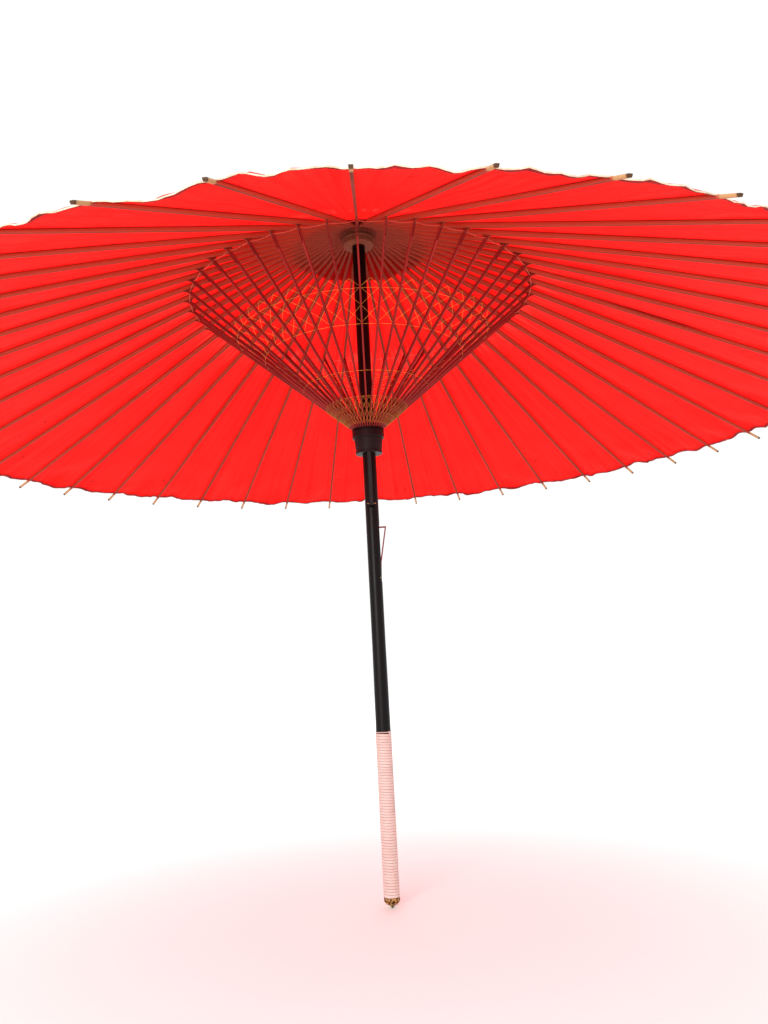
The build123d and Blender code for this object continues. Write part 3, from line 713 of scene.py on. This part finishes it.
# radius and height in millimetres, from the middle of the top, in at the tied waist and out to the edge
crownProfile = [(0.0, 757.65), (6.0, 757.65), (11.4, 757.55), (12.75, 756.9), (12.95, 755.2), (12.95, 750.0),
                (12.5, 748.2), (11.35, 746.9), (11.3, 744.0), (11.35, 741.8), (12.4, 740.9), (17.0, 741.6),
                (21.5, 740.6)]
crownPoints, crownFaces = [], []
around = ribs["count"] * 4
for row, (radius, height) in enumerate(crownProfile):
    for i in range(around):
        angle = 2 * math.pi * i / around
        pleat = hood["gathers"] * math.cos(angle * ribs["count"]) * (1 if 2 < row < 13 else 0)
        reach = max(radius + pleat, 0.02) * mm
        crownPoints.append((reach * math.cos(angle), reach * math.sin(angle), height * mm))
for row in range(len(crownProfile) - 1):
    for i in range(around):
        j = (i + 1) % around
        crownFaces.append((row * around + i, (row + 1) * around + i, (row + 1) * around + j, row * around + j))
crownMesh = bpy.data.meshes.new("hood crown")
crownMesh.from_pydata(crownPoints, [], crownFaces)
crownMesh.polygons.foreach_set("use_smooth", [True] * len(crownFaces))
hoodCrown = meshObject("hoodCrown", crownMesh, [hoodPaper])
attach(hoodCrown, "root")
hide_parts("hood")
print("hood made")

# stretchers: crimson sticks forked round the rib tenons, laced together with silk

armLook = dict(rounding=0.3 * mm, swelling=0.03, taper=0.0, taperFrom=1.0, keep=0.012, silk=0.42 * mm)
lacing = dict(denseFrom=5 * mm, denseTo=38 * mm, denseSteps=3, rings=(38 * mm, 70 * mm, 124 * mm, 163 * mm),
              ringSag=0.5 * mm, ringLift=-0.2 * mm, sagAt=0.17, diamonds=2, lift=1.75 * mm, tails=9 * mm)

body = arms["length"] - arms["fork"]
cheek = (arms["forkWidth"] - arms["forkGap"]) / 2
cheekLine = [(body - 1 * mm, arms["height"] / 2), (body - 1 * mm, -arms["height"] / 2)]
cheekLine += arc(arms["length"], 0, arms["nose"], -90, 90, 8)
armTongue = [(8 * mm, 1.3 * mm)] + arc(0, 0, arms["nose"], 90, 270, 8) + [(8 * mm, -1.3 * mm)]
armSlabs = slabMesh("stretcher slabs", arms, [
    (armTongue, arms["tongue"], 0.0, 0),
    (cheekLine, cheek, (arms["forkGap"] + cheek) / 2, 0), (cheekLine, cheek, -(arms["forkGap"] + cheek) / 2, 0)])
armStick = stickMesh("stretcher stick", arms, body, (arms["width"], arms["width"]),
                     (-arms["height"] / 2, arms["height"] / 2), armLook, armBamboo)


def baySpot(along, across, lift):
    # as spanPoint, over the stretchers
    base = stickPoint(arms, along, 0, lift)
    inwards = base.x * (1 - abs(across) * (1 - math.cos(stepAngle)) / 2)
    return Vector((inwards, across * base.x * math.sin(stepAngle) / 2, base.z))


netRuns, runs = [], []
for along in lacing["rings"]:
    run = []
    for across in (i / 3 for i in range(-3, 4)):
        sag = lacing["ringSag"] * (1 - (1 - abs(across)) ** 2) * along / lacing["sagAt"]
        run.append(baySpot(along, across, lacing["ringLift"]) - Vector((0, 0, sag)))
    runs.append(run)
stride = (lacing["denseTo"] - lacing["denseFrom"]) / lacing["denseSteps"]
for side in (-1, 1):
    for i in range(lacing["denseSteps"]):  # each thread climbs over three bays
        low = lacing["denseFrom"] + i * stride
        for lift in (lacing["lift"], -lacing["lift"]):
            netRuns.append([baySpot(low + (1 + across) * stride / 2, side * across, lift) for across in (-1, 0, 1)])
    step = (lacing["rings"][3] - lacing["rings"][2]) / lacing["diamonds"]
    for i in range(lacing["diamonds"]):
        low = lacing["rings"][2] + i * step
        for end in (low, low + step):
            runs.append([baySpot(end, 0.0, lacing["lift"]), baySpot(low + step / 2, side, lacing["lift"])])
    top = lacing["rings"][3]
    runs.append([baySpot(top, 0.0, lacing["lift"]), baySpot(top + lacing["tails"], side, lacing["lift"])])
armSilk = threadMesh("stretcher lacing", runs, armLook["silk"], goldSilk, sides=4)
armNet = threadMesh("stretcher net", netRuns, armLook["silk"], darkSilk, sides=4)
armFinishes = [armBamboo, goldSilk, darkSilk]
for part in (armStick, armSilk, armNet):
    withFinishes(part, armFinishes)
armMaster = joined("stretcher master", [armStick, armSlabs, armSilk, armNet])
outwards(armMaster)
armPieces = fanned(armMaster, "lacedStretcher", ["runner"] * ribs["count"], armFinishes, azimuths)
for piece, azimuth in zip(armPieces, azimuths):
    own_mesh(piece)
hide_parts("stretchers", "decor_threads")
print("stretchers made")

# grip: rattan cane wound over the foot of the pole

grip = dict(foot=10.7 * mm, top=176.2 * mm, pitch=2.8 * mm, radius=7.98 * mm, caneWidth=2.74 * mm,
            caneThickness=0.84 * mm, endThickness=1.0 * mm, endInset=0.9 * mm, loopPoints=36)

turns = (grip["top"] - grip["foot"] - grip["caneWidth"]) / grip["pitch"]
wound = plainMesh("wound cane", bpy.data.meshes.new("cane start"), caneTree, {
    "Turns": turns, "Radius": grip["radius"], "Height": turns * grip["pitch"], "Foot": grip["foot"] + grip["caneWidth"] / 2,
    "Cane Width": grip["caneWidth"], "Cane Thickness": grip["caneThickness"], "Finish": rattan})
ends = []
for height in (grip["foot"] + grip["endInset"], grip["top"] - grip["endInset"]):
    turnAngles = [2 * math.pi * i / grip["loopPoints"] for i in range(grip["loopPoints"] + 1)]
    loop = [Vector((grip["radius"] * math.cos(a), grip["radius"] * math.sin(a), height)) for a in turnAngles]
    ends.append(threadMesh("cane end", [loop], grip["endThickness"], rattan, sides=8))
for part in [wound] + ends:
    withFinishes(part, [rattan])
gripMesh = joined("rattan grip", [wound] + ends)
outwards(gripMesh)
gripMesh.polygons.foreach_set("use_smooth", [True] * len(gripMesh.polygons))
rattanGrip = meshObject("rattanGrip", gripMesh, [rattan])
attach(rattanGrip, "root")
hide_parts("grip_wrap")
print("grip made")

# finishes of the CAD pieces that stay

kept = dict(shaft=poleLacquer, runner=runnerLacquer, upper_hub=hubLacquer, butt_cap=capBrass, catch_pins=pinBrass,
            upper_catch=runnerLacquer, lower_catch=catchBamboo, hub_thread=goldSilk, runner_thread=goldSilk, hood_tie=goldSilk)
for name, material in kept.items():
    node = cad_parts[name]
    node.data.materials.clear()
    node.data.materials.append(material)
print("kept pieces finished")

# floor and light

stage = dict(floorSize=40.0, skyStrength=1.05, overhead=36.0, front=3.0, wash=30.0)

floorMesh = bpy.data.meshes.new("floor")
reach = stage["floorSize"] / 2
floorMesh.from_pydata([(-reach, -reach, 0), (reach, -reach, 0), (reach, reach, 0), (-reach, reach, 0)], [], [(0, 1, 2, 3)])
floorMaterial, tree = newMaterial("matt white studio floor")
skin = addNode(tree, "ShaderNodeBsdfPrincipled", Base_Color="#FBFBFB", Roughness=0.9)
addNode(tree, "ShaderNodeOutputMaterial", Surface=skin)
floor = meshObject("floor", floorMesh, [floorMaterial])

world = bpy.data.worlds.new("studio")
world.use_nodes = True
world.node_tree.nodes["Background"].inputs["Color"].default_value = (1, 1, 1, 1)
world.node_tree.nodes["Background"].inputs["Strength"].default_value = stage["skyStrength"]
scene.world = world


def panel(name, place, aim, size, power):
    lamp = bpy.data.lights.new(name, "AREA")
    lamp.shape, lamp.size, lamp.energy = "SQUARE", size, power
    lampObject = bpy.data.objects.new(name, lamp)
    scene.collection.objects.link(lampObject)
    towards = (Vector(place) - Vector(aim)).to_track_quat("Z", "Y")
    lampObject.matrix_world = Matrix.Translation(place) @ towards.to_matrix().to_4x4()


panel("overhead", (0.3, 1.9, 2.5), (0, 0, 0.6), 2.6, stage["overhead"])
panel("floor wash", (-0.7, -2.1, 0.8), (0, 0.1, 0), 1.2, stage["wash"])
panel("front fill", (-1.3, -2.2, 0.9), (0, 0, 0.5), 1.6, stage["front"])
print("lit")
